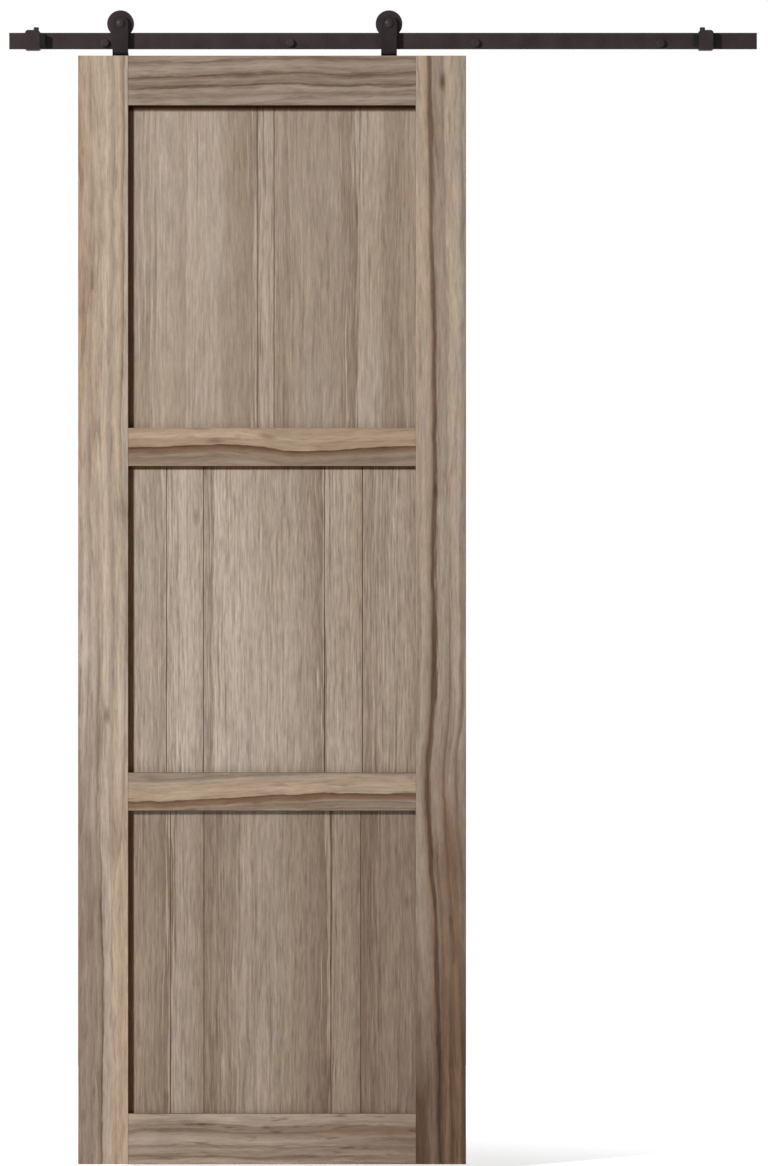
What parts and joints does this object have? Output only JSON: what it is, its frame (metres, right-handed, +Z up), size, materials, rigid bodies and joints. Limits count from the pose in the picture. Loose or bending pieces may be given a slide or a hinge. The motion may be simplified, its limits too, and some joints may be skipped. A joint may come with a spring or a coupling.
{
  "type": "sliding barn door",
  "caption": "Sliding barn door: framed timber leaf with recessed plank panels, hung on strap hangers whose grooved wheels roll along a flat steel track with end stops.",
  "frame": {"origin": "on the wall plane, on the line of the wall screws, halfway along the track", "axes": "+X along the track to the right as seen from the room, +Y into the wall, +Z up; the room side faces -Y"},
  "size_m": [1.372, 0.0874, 2.116],
  "materials": {
    "black_steel": "satin powder coat",
    "black_fasteners": "satin black",
    "zinc_steel": "zinc plated",
    "bumper_rubber": "matt",
    "frame_wood": "weathered oak, matt",
    "panel_wood": "weathered oak, matt",
    "dowel_wood": "raw beech"
  },
  "bodies": {
    "track": {"track_rail": "black_steel", "wall_spacer_1": "black_steel", "wall_spacer_2": "black_steel", "wall_spacer_3": "black_steel", "wall_spacer_4": "black_steel", "lag_screws": "black_fasteners", "lag_washers": "black_fasteners", "end_stop_left": "black_steel", "end_stop_right": "black_steel", "stop_bumper_left": "bumper_rubber", "stop_bumper_right": "bumper_rubber", "stop_set_screws": "black_fasteners"},
    "door": {"left_stile": "frame_wood", "right_stile": "frame_wood", "top_rail": "frame_wood", "upper_mid_rail": "frame_wood", "lower_mid_rail": "frame_wood", "bottom_rail": "frame_wood", "upper_panel": "panel_wood", "middle_panel": "panel_wood", "lower_panel": "panel_wood", "frame_dowels": "dowel_wood", "hanger_strap_left": "black_steel", "foot_screws_left": "zinc_steel", "axle_bolt_left": "black_fasteners", "axle_bush_left": "zinc_steel", "bearing_inner_ring_left": "zinc_steel", "axle_washer_left": "zinc_steel", "axle_nut_left": "zinc_steel", "hanger_strap_right": "black_steel", "foot_screws_right": "zinc_steel", "axle_bolt_right": "black_fasteners", "axle_bush_right": "zinc_steel", "bearing_inner_ring_right": "zinc_steel", "axle_washer_right": "zinc_steel", "axle_nut_right": "zinc_steel"},
    "left_roller": {"wheel_left": "black_steel", "bearing_outer_ring_left": "zinc_steel"},
    "right_roller": {"wheel_right": "black_steel", "bearing_outer_ring_right": "zinc_steel"}
  },
  "joints": [
    {"name": "door_slide", "type": "slide", "parent": "track", "child": "door", "axis": [1, 0, 0], "range_m": [-0.1217, 0.542]},
    {"name": "left_wheel_turn", "type": "hinge", "parent": "door", "child": "left_roller", "pos_m": [-0.4817, -0.033, 0.0355], "axis": [0, 1, 0], "continuous": true},
    {"name": "right_wheel_turn", "type": "hinge", "parent": "door", "child": "right_roller", "pos_m": [0.0109, -0.033, 0.0355], "axis": [0, 1, 0], "continuous": true}
  ],
  "couplings": [
    {"joint": "left_wheel_turn", "follows": "door_slide", "rad_per_m": 61.728},
    {"joint": "right_wheel_turn", "follows": "door_slide", "rad_per_m": 61.728}
  ]
}
